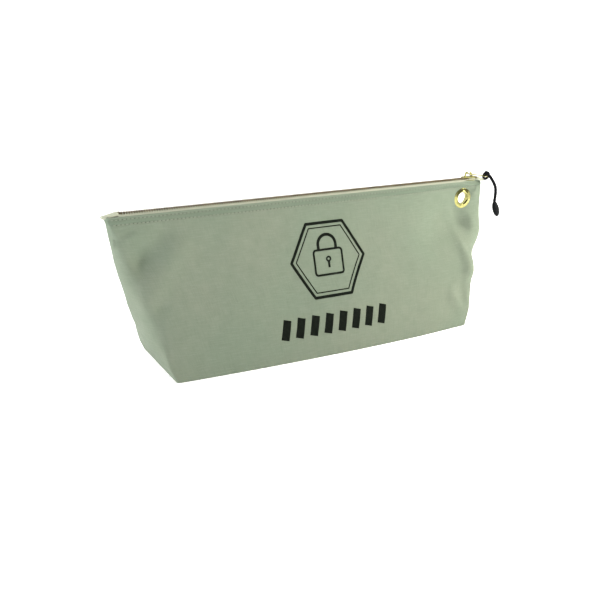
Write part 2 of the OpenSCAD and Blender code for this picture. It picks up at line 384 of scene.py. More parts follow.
def thread_material():
    """Twisted cotton thread."""
    s = Shader("cotton_thread", Roughness=0.7, Specular_IOR_Level=0.3)
    _, u, v = s.cut()
    twist = s.ridges(s.math("ADD", s.math("DIVIDE", u, 0.5 * MM), s.math("MULTIPLY", v, 2.0)), 1.0)
    worn = s.remap(s.noise(s.place(), 300, 3.0), 0.4, 0.7, 0, 0.4)
    # painted shade: the thread is darker in the grooves of its twist; the worn patches are real wear
    s.colour(s.mix(worn, s.mix(twist, (0.09, 0.105, 0.075), (0.33, 0.365, 0.285)), (0.22, 0.25, 0.19)))
    s.normal(s.bump(twist, 0.6, 0.12 * MM))
    return s.material


def hole_shade_material():
    """The shade in a needle hole, with a few fibres across it."""
    s = Shader("needle_hole_shade", Roughness=0.95, Specular_IOR_Level=0.05)
    fibres = s.noise(s.stretch(s.place(), (4000, 900, 900)), 1.0, 3.0)
    s.colour(s.mix(s.remap(fibres, 0.45, 0.7, 0, 1), (0.035, 0.045, 0.03), (0.12, 0.145, 0.105)))
    return s.material


def brass_material(name, colour, worn, roughness):
    """Brass with duller stains and fine scratches."""
    s = Shader(name, Metallic=1.0, Roughness=roughness)
    place = s.place()
    stains = s.noise(place, 220, 4.0, 0.6)
    scratches = s.noise(s.stretch(place, (300, 2400, 2400)), 1.0, 3.0)
    s.colour(s.mix(s.remap(stains, 0.4, 0.7, 0, 1), colour, worn))
    s.feed(s.base.inputs["Roughness"], s.remap(stains, 0.3, 0.7, roughness - 0.06, roughness + 0.14))
    s.normal(s.bump(scratches, 0.12, 0.05 * MM))
    return s.material


def cord_material():
    """Black braid with a little fuzz."""
    s = Shader("black_cord", Roughness=0.9, Specular_IOR_Level=0.04)
    _, u, v = s.cut()
    strands = [s.ridges(s.math(way, u, v), 1.2 * MM) for way in ("ADD", "SUBTRACT")]
    braid = s.math("MAXIMUM", *strands)
    fuzz = s.noise(s.place(), 2500, 2.0)
    # painted shade: the cord is darker in the grooves between the braid's strands
    tone = s.mix(braid, (0.002, 0.002, 0.003), (0.010, 0.010, 0.012))
    s.colour(s.mix(s.remap(fuzz, 0.5, 0.8, 0, 0.5), tone, (0.018, 0.018, 0.020)))
    s.normal(s.bump(braid, 0.7, 0.25 * MM))
    return s.material


def tip_material():
    """Scuffed black moulding."""
    s = Shader("black_moulding", Roughness=0.55, Specular_IOR_Level=0.06)
    place = s.place()
    scuffs = s.noise(place, 160, 4.0, 0.65)
    s.colour(s.mix(s.remap(scuffs, 0.5, 0.8, 0, 0.5), (0.004, 0.005, 0.006), (0.022, 0.023, 0.025)))
    s.feed(s.base.inputs["Roughness"], s.remap(scuffs, 0.3, 0.7, 0.38, 0.6))
    s.normal(s.bump(s.noise(place, 1800, 3.0), 0.15, 0.05 * MM))
    return s.material


def ink_material():
    """Black ink, thinner between the yarns."""
    s = Shader("ink", Roughness=0.9, Specular_IOR_Level=0.05)
    uv, u, v = s.cut()
    threads = s.weave(u, v)
    fade = s.noise(uv, 260, 4.0, 0.65)
    tone = s.mix(s.remap(fade, 0.45, 0.8, 0, 0.6), (0.004, 0.006, 0.004), (0.014, 0.018, 0.013))
    s.colour(s.mix(s.remap(threads, 0.0, 0.45, 0.35, 0.0), tone, (0.035, 0.042, 0.032)))
    s.normal(s.bump(threads, 0.5, 0.25 * MM))
    return s.material


# ---- mesh building
def piece(name, solid, material, sharp=None):
    """A mesh object of a solid: its points, its faces and, where the material needs them, one (u, v) in
    metres for each point. Edges past the sharp angle stay crisp."""
    points, faces = solid[:2]
    mesh = bpy.data.meshes.new(name)
    mesh.from_pydata([tuple(p) for p in points], [], [tuple(f) for f in faces])
    layer = mesh.uv_layers.new(name="cut")
    if len(solid) > 2:
        corners = np.empty(len(mesh.loops), int)
        mesh.loops.foreach_get("vertex_index", corners)
        layer.data.foreach_set("uv", np.asarray(solid[2], np.float32)[corners].ravel())
    mesh.materials.append(material)
    mesh.shade_smooth()
    if sharp is not None:
        mesh.set_sharp_from_angle(angle=radians(sharp))
    return in_scene(name, mesh)


def parts(*solids):
    """Joins (points, faces) or (points, faces, uvs) solids into one."""
    points, faces, uvs, start = [], [], [], 0
    for solid in solids:
        points.append(np.asarray(solid[0], float))
        faces += [tuple(i + start for i in f) for f in solid[1]]
        uvs.append(np.asarray(solid[2], float) if len(solid) > 2 else np.zeros((len(solid[0]), 2)))
        start += len(solid[0])
    return np.concatenate(points), faces, np.concatenate(uvs)


def shell(outer, inner, uv, keep=None):
    """A closed sheet from two grids of points, rows by columns, of its outer and inner faces, with the same
    (u, v) on both. keep says which cells of the grid there are; a hole gets a rim like the outer edge's."""
    rows, columns = outer.shape[:2]
    size = rows * columns
    cells = np.ones((rows - 1, columns - 1), bool) if keep is None else keep
    there = lambda r, c: 0 <= r < rows - 1 and 0 <= c < columns - 1 and cells[r, c]
    faces = []
    for r, c in zip(*np.nonzero(cells)):
        a = r * columns + c
        b, d, e = a + 1, a + columns, a + columns + 1
        faces.append((a, b, e, d))
        faces.append((a + size, d + size, e + size, b + size))
        for (p, q), (nr, nc) in (
            ((a, b), (r - 1, c)), ((b, e), (r, c + 1)), ((e, d), (r + 1, c)), ((d, a), (r, c - 1))
        ):
            if not there(nr, nc):
                faces.append((q, p, p + size, q + size))
    points = np.concatenate([outer.reshape(-1, 3), inner.reshape(-1, 3)])
    used = np.zeros(len(points), bool)
    used[np.array([i for f in faces for i in f])] = True
    new = np.cumsum(used) - 1
    uvs = np.concatenate([uv.reshape(-1, 2)] * 2)
    return points[used], [tuple(int(new[i]) for i in f) for f in faces], uvs[used]


def loop_normals(grid):
    """Outward unit normals of a grid whose rows are loops round the bag, from the bottom up."""
    across = np.roll(grid, -1, axis=1) - np.roll(grid, 1, axis=1)
    return unit(np.cross(across, np.gradient(grid, axis=0)))


def loft_faces(rows, sides):
    """Faces of a closed solid made of rows of points, each of them a ring with the same number of sides."""
    faces = [
        (r * sides + c, r * sides + (c + 1) % sides, (r + 1) * sides + (c + 1) % sides, (r + 1) * sides + c)
        for r in range(rows - 1)
        for c in range(sides)
    ]
    return faces + [tuple(range(sides))[::-1], tuple(range((rows - 1) * sides, rows * sides))]


def tube(path, radius, sides=16, squash=1.0, across=None, caps=True):
    """A tube round a path, as (points, faces, uvs). radius may be one number or one for each point, squash
    flattens the tube, and across is the direction that its first side faces."""
    path = np.asarray(path, float)
    radius = np.broadcast_to(np.asarray(radius, float), (len(path),))
    way = unit(np.gradient(path, axis=0))
    side = np.cross(way[0], (0.3, 0.2, 1.0)) if across is None else np.array(across, float)
    sides_at, ups = [], []
    for w in way:
        side = unit(side - w * (side @ w))
        sides_at.append(side)
        ups.append(np.cross(w, side))
    turn = np.arange(sides) * 2 * pi / sides
    rings = (
        path[:, None]
        + radius[:, None, None] * np.cos(turn)[None, :, None] * np.array(sides_at)[:, None]
        + squash * radius[:, None, None] * np.sin(turn)[None, :, None] * np.array(ups)[:, None]
    )
    at = along_line(path)
    uvs = np.stack(np.broadcast_arrays(at[:, None], (turn * radius.mean())[None]), 2).reshape(-1, 2)
    faces = loft_faces(len(path), sides)
    return rings.reshape(-1, 3), faces if caps else faces[:-2], uvs


def lathe(profile, steps=96):
    """A closed profile of (radius, depth) points turned about the grommet's axis."""
    ring = len(profile)
    turns = np.arange(steps) * 2 * pi / steps
    points = [(GROMMET.x + r * cos(a), y, GROMMET.z + r * sin(a)) for a in turns for r, y in profile]
    faces = []
    for i in range(steps):
        for j in range(ring):
            a, b = i * ring + j, ((i + 1) % steps) * ring + j
            k = (j + 1) % ring - j
            faces.append((a, a + k, b + k, b))
    return points, faces


def bevelled(name, solid, material, width, segments=2):
    """A solid with its sharp edges rounded."""
    made = piece(name, solid, material)
    work = bmesh.new()
    work.from_mesh(made.data)
    bmesh.ops.remove_doubles(work, verts=work.verts, dist=0.01 * MM)
    bmesh.ops.recalc_face_normals(work, faces=work.faces)
    edges = [e for e in work.edges if len(e.link_faces) == 2 and e.calc_face_angle(0) > radians(35)]
    bmesh.ops.bevel(
        work, geom=edges, offset=width, segments=segments, profile=0.5, affect="EDGES", clamp_overlap=True
    )
    work.to_mesh(made.data)
    work.free()
    made.data.shade_smooth()
    made.data.set_sharp_from_angle(angle=radians(40))
    return made


def prism(outline, low, high):
    """A solid of the given (x, y) outline, from one height to another."""
    return [(x, y, z) for z in (low, high) for x, y in outline], loft_faces(2, len(outline))


# ---- the canvas body
END_LEAN = (TOP_HALF - FLOOR_HALF) / ZIP_Z
END_COLUMNS = 16
FACE_COLUMNS = 196
FOOT = 1.5 * MM                           # radius of the bottom edge

# Folds and swellings of the canvas: two ends, height (below 0 is a hollow) and width, in millimetres
FOLDS = (
    ((-224, -9, 134), (-202, -10, 147), -3.2, 2.6),
    ((-224, -6, 128), (-200, -12, 141), 1.4, 3.0),
    ((-218, -26, 92), (-196, -20, 116), -4.8, 12),
    ((-196, -20, 116), (-172, -12, 140), -4.4, 11),
    ((-200, -30, 78), (-160, -18, 122), 3.4, 12),
    ((-190, 34, 34), (-194, 0, 50), -0.8, 7.0),
    ((-194, 0, 50), (-184, -32, 72), -2.4, 7.0),
    ((158, -40, 39), (175, -49, 6), 2.4, 7.0),
    ((178, -10, 128), (189, -34, 60), 4.0, 7.0),
    ((183, -34, 60), (182, -46, 18), 1.5, 6.0),
    ((-190, 30, 110), (-168, 14, 138), -3.0, 8.0),
    ((150, 30, 70), (120, 44, 20), 2.4, 12.0),
)


def wall_y(z):
    """Half of the bag's depth between its walls at a height."""
    return mix(DEPTH_HALF, FOLD_Y, z / FOLD_Z)


def pinch(z):
    """How far the canvas is pressed flat at the grommet's end at a height, 0 to 1."""
    above_flange = smooth(GROMMET.z + 0.92 * FLANGE_R, FOLD_Z + 1 * MM, z)
    return smooth(LEANS_TO, LIES_FLAT, z) * (1 - 0.95 * above_flange)


def right_corner(z):
    """Fold between the wall and the right end: it leans out at first, then stands beside the pinch."""
    lean = END_LEAN * min(z, LEANS_TO)
    x = FLOOR_HALF + lean + 3 * MM * smooth(0, 0.02, z) - 9 * MM * smooth(0.060, 0.105, z)
    return float(x), float(mix(wall_y(z), PINCH_Y, pinch(z)))


def ring_at(z):
    """Loop of points round the bag at one height, from the back left corner by the left end and the front."""
    slackest = float(smooth(0.0, 0.012, z) * (1 - smooth(0.130, FOLD_Z, z)))
    spread = 3.5 * MM * float(1 - smooth(0.025, 0.085, z))
    lx, ly = -(FLOOR_HALF + END_LEAN * z) - 1.5 * MM * slackest - spread, wall_y(z) + 0.6 * spread
    rx, ry = right_corner(z)
    spare = TOP_HALF - rx + 6 * MM * float(smooth(0.040, 0.080, z) * (1 - smooth(0.090, 0.125, z)))
    seam = rx + sqrt(max(spare ** 2 - ry ** 2, (4 * MM) ** 2))
    flat = float(pinch(z))
    swell = 8 * MM * sin(pi * min(z / FOLD_Z, 1.0)) ** 1.2
    belly = 6 * MM * float(1 - smooth(0.0, 0.120, z)) + 2.5 * MM * sin(pi * min(z / FOLD_Z, 1.0))

    def left(t):
        """The left end, t from -1 at the back corner to 1 at the front one."""
        return np.stack([lx - swell * (1 - t ** 2), -ly * t], 1)

    def right(t):
        """The right end, t from -1 at the front corner to 1 at the back one."""
        far = np.abs(t)
        share = mix(far, 1 - (1 - far) ** 6, flat)
        return np.stack([mix(seam, rx, far), np.sign(t) * ry * share], 1)

    def face(t, side):
        """The front (side -1) or back wall, t from 0 at its left corner to 1 at the right one."""
        x = mix(lx, rx, t)
        straight = mix(wall_y(z) + 0.6 * spread, ry, smooth(rx - 0.085, rx, x))
        return np.stack([x, side * (straight + belly * np.sin(pi * t) ** 0.8)], 1)

    ends = np.linspace(-1, 1, 2 * END_COLUMNS + 1)[:-1]
    along = np.linspace(0, 1, FACE_COLUMNS + 1)[:-1]
    return np.concatenate([left(ends), face(along, -1), right(ends), face(1 - along, 1)])


def rounded(loop, z):
    """The loop with its corners rounded: widely in the slack of the bag, tightly where it is pressed flat."""
    ring = np.concatenate([loop, loop[:1]])
    at = along_line(ring)
    count = 1500
    even = np.linspace(0, at[-1], count + 1)
    dense = sampled(even, at, ring)[:-1]

    def blurred(sigma):
        """The loop's points, each moved to an average of those around it."""
        reach = int(4 * sigma * count / at[-1]) + 1
        kernel = np.exp(-0.5 * (np.arange(-reach, reach + 1) * at[-1] / count / sigma) ** 2)
        kernel /= kernel.sum()
        padded = np.concatenate([dense[-reach:], dense, dense[:reach]])
        soft = np.stack([np.convolve(padded[:, k], kernel, "valid") for k in range(2)], 1)
        return sampled(at[:-1], even, np.concatenate([soft, soft[:1]]))

    slack_here = smooth(0.002, 0.050, z) * (1 - smooth(0.140, FOLD_Z, z))
    free = smooth(0.03, -0.03, loop[:, 1]) * smooth(0.05, -0.05, loop[:, 0])
    wide = (slack_here * mix(0.25, 1.0, free))[:, None]
    tight = (smooth(FLOOR_HALF, FLOOR_HALF + 0.02, loop[:, 0]) * pinch(z))[:, None]
    return mix(mix(blurred(1.6 * MM), blurred(0.36 * wall_y(z) + 1 * MM), wide), blurred(1.0 * MM), tight)


def wall_heights():
    """Heights of the rows of points, close together in the hem, and those rows' places below the fold."""
    slant = FOLD_Z / sqrt(FOLD_Z ** 2 + (DEPTH_HALF - FOLD_Y) ** 2)
    below = np.array([0, 0.5, 1.1, 1.6, 2.1, 2.8, 3.8, 4.9, 5.7, 6.15, 6.4, 6.65, 7.1, 8.0, 9.5]) * MM
    hem = FOLD_Z - below * slant
    return np.concatenate([hem, np.linspace(hem[-1], FOOT, 62)[1:]])[::-1], below


def slack(points):
    """How far the canvas stands off its plain shape, in soft waves and folds. It is flat by the grommet."""
    z = points[:, 2]
    free = smooth(0.0, 0.035, z) * smooth(FOLD_Z, FOLD_Z - 0.03, z)
    flat = smooth(0.028, 0.014, np.hypot(points[:, 0] - GROMMET.x, points[:, 2] - GROMMET.z))
    out = 2.0 * MM * perlin(points, 0.085, 1) * free
    out += 0.8 * MM * perlin(points, 0.032, 2) * free
    out += 0.30 * MM * perlin(points, 0.012, 3) * smooth(0, 0.01, z)
    out *= 1 - 0.7 * smooth(0.172, 0.200, points[:, 0])
    for a, b, height, width in FOLDS:
        away = from_segment(points / MM, a, b)
        out += height * MM * np.exp(-(away / width) ** 2) * free
    return out * (1 - flat)


def body_grid():
    """Outer face of the walls and ends, with grooves along the stitch rows and a puff between them: points,
    normals, and each row's distance below the fold."""
    heights, below = wall_heights()
    grid = np.stack([np.column_stack([rounded(ring_at(z), z), np.full(LOOP, z)]) for z in heights])
    push = slack(grid.reshape(-1, 3)).reshape(grid.shape[:2])
    normals = loop_normals(grid)
    grid = grid + normals * push[..., None]
    normals = loop_normals(grid)
    down = (FOLD_Z - heights) / (FOLD_Z - heights[-len(below)]) * below[-1]
    for row in HEM_ROWS:
        groove = 0.30 * MM * np.exp(-((down - row) / (0.55 * MM)) ** 2)
        grid = grid - normals * groove[:, None, None]
    puff = 0.25 * MM * np.exp(-((down - sum(HEM_ROWS) / 2) / (1.6 * MM)) ** 2)
    grid = grid + normals * puff[:, None, None]
    return grid, loop_normals(grid), down


LOOP = 4 * END_COLUMNS + 2 * FACE_COLUMNS
FRONT_END = 4 * END_COLUMNS + FACE_COLUMNS   # column of the back right corner
BODY, BODY_N, BODY_DOWN = body_grid()
WALL_COLUMNS = {                             # columns of the front (-1) and back walls, from left to right
    -1: np.arange(2 * END_COLUMNS, FRONT_END - END_COLUMNS),
    1: np.arange(FRONT_END - END_COLUMNS, LOOP)[::-1],
}


def with_hem_and_foot():
    """The body's grid with the hem turned in above it and the canvas turned under the floor below it, and
    how many rows there are below it."""
    flat, up = unit(BODY_N * (1, 1, 0)), np.array([0, 0, 1.0])
    turn = 0.95 * MM
    above = [BODY[-1] + turn * ((cos(a) - 1) * flat[-1] + sin(a) * up) for a in np.linspace(0, pi, 7)[1:]]
    flap = [np.searchsorted(-BODY_DOWN, -d * MM) for d in (1.1, 2.8, 4.9, 6.4, 8.0)]
    above += [BODY[r] - 2 * turn * BODY_N[r] for r in flap]
    foot = [BODY[0] + FOOT * ((cos(a) - 1) * flat[0] - sin(a) * up) for a in np.linspace(pi / 2, 0, 6)[:-1]]
    under = [foot[0] - d * MM * flat[0] for d in (6.0, 3.0)]
    return np.concatenate([np.stack(under + foot), BODY, np.stack(above)]), len(under + foot)


CANVAS, FOOT_ROWS = with_hem_and_foot()
CANVAS_N = loop_normals(CANVAS)


def cut_map(grid, fold_row):
    """UVs in metres: the distance across, and the height above the fold, so down the wall is below 0."""
    rows = np.linalg.norm(np.diff(grid, axis=1), axis=2).mean(axis=0)
    across = np.concatenate([[0], np.cumsum(rows)])
    steps = np.linalg.norm(np.diff(grid, axis=0), axis=2).mean(axis=1)
    rise = np.concatenate([[0], np.cumsum(steps)])
    rise -= rise[fold_row]
    return np.stack(np.broadcast_arrays((across - across.mean())[None], rise[:, None]), 2)


def canvas_piece(name, columns, material):
    """The canvas over some columns of the body, with a hole for the grommet."""
    grid = CANVAS[:, columns]
    inner = grid - CLOTH * CANVAS_N[:, columns]
    inner[..., 2] = np.maximum(inner[..., 2], 0.0)
    cell = (grid[:-1, :-1] + grid[1:, :-1] + grid[:-1, 1:] + grid[1:, 1:]) / 4
    keep = np.hypot(cell[..., 0] - GROMMET.x, cell[..., 2] - GROMMET.z) > 0.68 * FLANGE_R
    uv = cut_map(grid, FOOT_ROWS + len(BODY_DOWN) - 1)
    return piece(name, shell(grid, inner, uv, keep), material, 55)


def floor_piece(material):
    """The floor, lapped over the turned edges of the walls."""
    long, deep = FLOOR_HALF - 2.5 * MM, DEPTH_HALF - 2.5 * MM
    gx, gy = np.meshgrid(np.linspace(-long, long, 90), np.linspace(-deep, deep, 28))
    edge = np.minimum(long - np.abs(gx), deep - np.abs(gy))
    z = 0.1 * MM + 1.1 * MM * smooth(9 * MM, 3 * MM, edge)
    z += 0.5 * MM * (perlin(np.stack([gx, gy, 0 * gx], 2).reshape(-1, 3), 0.05, 7) + 0.5).reshape(gx.shape)
    low = np.stack([gx, gy, z], 2)[:, ::-1]
    return piece("floor_canvas", shell(low, low + (0, 0, CLOTH), low[..., :2]), material)


def on_wall(x, down, lift=0.0, side=-1):
    """Point and outward normal off the front (side -1) or back wall, at a distance below the fold. lift is
    how far it stands off the outer face."""
    columns = WALL_COLUMNS[side]
    row = np.interp(-down, -BODY_DOWN, np.arange(len(BODY_DOWN)))
    low = min(int(row), len(BODY_DOWN) - 2)
    found = []
    for r in (low, low + 1):
        xs = BODY[r, columns, 0]
        rows = (BODY[r, columns], BODY_N[r, columns])
        found.append([[np.interp(x, xs, values[:, k]) for k in range(3)] for values in rows])
    point, normal = mix(np.array(found[0]), np.array(found[1]), row - low)
    normal = normal / np.linalg.norm(normal)
    return point + lift * normal, normal


def stitches(side, low_x, high_x):
    """Two rows of stitches along the hem of one wall, from one x to another, and after each stitch a dark
    disc of painted shade in its needle hole.
    """
    pitch, length, radius = 4.0 * MM, 3.1 * MM, 0.36 * MM
    solids, hole_shades = [], []
    for row, down in enumerate(HEM_ROWS):
        start = low_x + (0.4 + 0.5 * row) * pitch
        for i in range(int((high_x - start - length) / pitch)):
            x = start + i * pitch
            path = []
            for t in np.linspace(0, 1, 6):
                height = 0.16 * MM - 0.55 * MM * (2 * t - 1) ** 4
                path.append(on_wall(x + length * t, down, height, side)[0])
            solids.append(tube(path, radius * np.array([0.5, 0.95, 1, 1, 0.95, 0.5]), 6))
            # a dark disc of painted shade, standing in for the shadow in the needle hole
            spot, out = on_wall(x + length + 0.45 * MM, down, 0.0, side)
            levels = np.array([-0.4, 0.02, 0.07, 0.09])[:, None] * MM
            hole_shades.append(tube(spot + levels * out, np.array([0.5, 0.5, 0.42, 0.2]) * MM, 7, across=(1, 0, 0)))
    return parts(*solids), parts(*hole_shades)


# ---- zip
def tape_piece(name, side, low_x, high_x, material):
    """One zip tape: a beaded edge in the chain, and a band that goes down behind the hem."""
    bead = ((-1.6, -0.3), (-0.9, -0.5), (-0.1, -0.95), (0.4, -1.45), (0.75, -2.2))
    line = [(CHAIN_HALF + y * MM, ZIP_Z + z * MM) for y, z in bead]
    line += [(FOLD_Y - 2.75 * MM + 0.28 * d * MM, FOLD_Z - max(d, 0.2) * MM) for d in (0, 2, 4.5, 7)]
    thick = np.array([1.15, 0.8] + 7 * [0.5]) * MM
    x = np.linspace(low_x, high_x, 150)
    line = np.array(line)
    way = unit(np.gradient(line, axis=0))
    out = np.stack([-way[:, 1], way[:, 0]], 1)
    wave = 0.18 * MM * perlin(np.stack([x, 0 * x, 0 * x], 1), 0.02, 11)
    behind = np.full((len(line), len(x)), 1.0)
    for i in range(len(bead) - 1, len(line)):
        down = max(0.0, FOLD_Z - line[i, 1])
        behind[i] = [abs(on_wall(a, down, 0.0, side)[0][1]) - 2.35 * MM for a in x]
    share = np.minimum(np.arange(len(line)), 4)[:, None] / 4
    grids = []
    for s in (0.5, -0.5):
        yz = line + s * thick[:, None] * out
        room = np.minimum(yz[:, :1] + wave * share, behind + s * 0.5 * MM)
        room = np.maximum(room, (0.45 + s * 0.5) * MM)
        rows = [np.column_stack([x, side * y, np.full(len(x), z)]) for y, z in zip(room, yz[:, 1])]
        grids.append(np.stack(rows))
    uv = np.stack(np.broadcast_arrays(x[None], along_line(line)[:, None]), 2)
    made = piece(name, shell(*grids, uv), material, 60)
    fix_normals(made)
    return made


def fix_normals(made):
    """Turns the faces of a closed piece outward."""
    work = bmesh.new()
    work.from_mesh(made.data)
    bmesh.ops.recalc_face_normals(work, faces=work.faces)
    work.to_mesh(made.data)
    work.free()


def tooth(x, side):
    """One tooth: a rounded head that meets the other row, a neck, and jaws clamped on the tape."""
    stations = (                          # y, half of width and half of height, in millimetres
        (-0.50, 0.30, 0.55), (-0.40, 0.48, 0.85), (0.00, 0.55, 1.00), (0.45, 0.55, 1.05),
        (0.95, 0.50, 1.12), (1.40, 0.50, 1.20), (2.30, 0.54, 1.25), (3.00, 0.53, 1.30), (3.20, 0.42, 1.05),
    )
    cut = 0.35
    points = []
    for y, w, h in stations:
        for a, b in ((-w, -h + cut), (-w + cut, -h), (w - cut, -h), (w, -h + cut),
                     (w, h - cut), (w - cut, h), (-w + cut, h), (-w, h - cut)):
            dent = 0.22 * max(0.0, 1 - abs(y - 0.1) / 0.5) if abs(a) < w - 0.1 else 0.0
            points.append((x + a * MM, side * y * MM, ZIP_Z + (b - np.sign(b) * dent) * MM))
    return points, [f[::side] for f in loft_faces(len(stations), 8)]


def teeth_at(node):
    """Middles of the teeth of one row, from its CAD box."""
    first, last = lo(node).x + TOOTH_WIDTH / 2, hi(node).x - TOOTH_WIDTH / 2
    return first + TOOTH_PITCH * np.arange(round((last - first) / TOOTH_PITCH) + 1)


def stop_piece(name, node, material):
    """A brass stop crimped over the tape's edge, with a groove across it."""
    half, c = (hi(node) - lo(node)) / 2, middle(node)
    outline = [superellipse(2 * pi * i / 24, 5) for i in range(24)]
    stations = [(-half.x, 0.86), (0.3 * MM - half.x, 1.0), (-0.35 * MM, 1.0), (-0.15 * MM, 0.9)]
    stations += [(-x, s) for x, s in stations[::-1]]
    points = [(c.x + x, c.y + s * half.y * p, c.z + s * half.z * q) for x, s in stations for p, q in outline]
    return piece(name, (points, loft_faces(len(stations), len(outline))), material, 35)


def end_tab_piece(name, node, toward, material):
    """A folded strip of cloth over one end of the chain. It droops to the bag's end and is sewn in there."""
    a, b = lo(node), hi(node)
    inner_x, outer_x = (b.x, a.x) if toward < 0 else (a.x, b.x)
    rows, sides = 22, 28
    points, uvs = [], []
    for i in range(rows):
        t = i / (rows - 1)
        x = mix(inner_x + toward * -1.2 * MM, outer_x, t)
        z = mix(ZIP_Z - 0.5 * MM, FOLD_Z + 0.5 * MM, float(smooth(0.0, 1.0, t)))
        half = mix(3.9 * MM, 4.5 * MM, t) * (1 - 0.12 * (2 * t - 1) ** 8)
        thick = mix(2.3 * MM, 1.5 * MM, t) * (1 - 0.35 * (2 * t - 1) ** 10)
        for j in range(sides):
            turn = 2 * pi * j / sides
            c, s = cos(turn), sin(turn)
            y, rise = superellipse(turn, 3)
            sag = 0.35 * MM * perlin([(x, c * half, s * 0.01)], 0.006, 21)[0]
            points.append((x, half * y, z + thick * rise - 0.5 * MM * abs(c) ** 3 + sag))
            uvs.append((x, half * y + (0.02 if s < 0 else 0)))
    made = piece(name, (points, loft_faces(rows, sides), uvs), material, 60)
    fix_normals(made)
    return made


# ---- slider, tab and cord
def slider_piece(brass):
    """The slider's body: two shaped plates, the flanges at their sides, and the post between the rows."""
    a, b = lo("slider_body"), hi("slider_body")
    plate, flange_r = 1.0 * MM, 0.42 * MM
    half, keel = b.y, CHAIN_HALF + 0.2 * MM
    flank = ((0.10, 0.82), (0.45, 0.84), (0.66, 0.95), (0.80, 1.0))   # place along it, share of half width

    def outline(width):
        """Narrow at the tail, wide at the shoulders, with a shallow notch in the nose."""
        stations = ((0.0, 0.62), (0.03, 0.74), *flank, (0.92, 0.94), (0.985, 0.72), (1.0, 0.45))
        side = [(mix(a.x, b.x, t), w * width) for t, w in stations]
        return side + [(b.x - 0.5 * MM, 0)] + [(x, -y) for x, y in side[::-1]]

    top = prism(outline(half), b.z - plate, b.z)
    low = prism(outline(keel), a.z, a.z + plate)
    solids = [top, low]
    for s in (-1, 1):
        stations = ((0.02, 0.74), *flank, (0.93, 0.93))
        path = [(mix(a.x, b.x, t), s * (w * half - flange_r), b.z - plate - 0.1 * MM) for t, w in stations]
        solids.append(tube(path, flange_r, 8, squash=1.1))
    post = [(b.x - 5 * MM, 0), (b.x - 3.5 * MM, -0.9 * MM), (b.x - 1 * MM, -0.6 * MM),
            (b.x - 1 * MM, 0.6 * MM), (b.x - 3.5 * MM, 0.9 * MM)]
    solids.append(prism(post, a.z + plate / 2, b.z - plate / 2))
    return bevelled("slider_shell", parts(*solids)[:2], brass, 0.22 * MM)


def bail_piece(brass):
    """The arch that holds the tab."""
    a, b = lo("slider_bail"), hi("slider_bail")
    cx, floor_z = (a.x + b.x) / 2, a.z - 0.3 * MM
    outer_x, outer_z = (b.x - a.x) / 2, b.z - floor_z
    inner_x, inner_z = outer_x - 1.25 * MM, outer_z - 1.2 * MM
    steps = 18
    row = steps + 1
    line = [superellipse(pi * i / steps, 3.4) for i in range(row)]
    rims = ((outer_x, outer_z), (inner_x, inner_z))
    outline = [(cx + x * p, floor_z + z * q) for x, z in rims for p, q in line]
    points = [(x, y, z) for y in (a.y, b.y) for x, z in outline]
    faces = [(0, row, 3 * row, 2 * row), (steps, 2 * row + steps, 3 * row + steps, row + steps)]
    for i in range(steps):
        faces.append((i, i + 1, row + i + 1, row + i))
        faces.append((2 * row + i, 3 * row + i, 3 * row + i + 1, 2 * row + i + 1))
        faces.append((i, 2 * row + i, 2 * row + i + 1, i + 1))
        faces.append((row + i, row + i + 1, 3 * row + i + 1, 3 * row + i))
    return bevelled("slider_arch", (points, faces), brass, 0.3 * MM, 3)


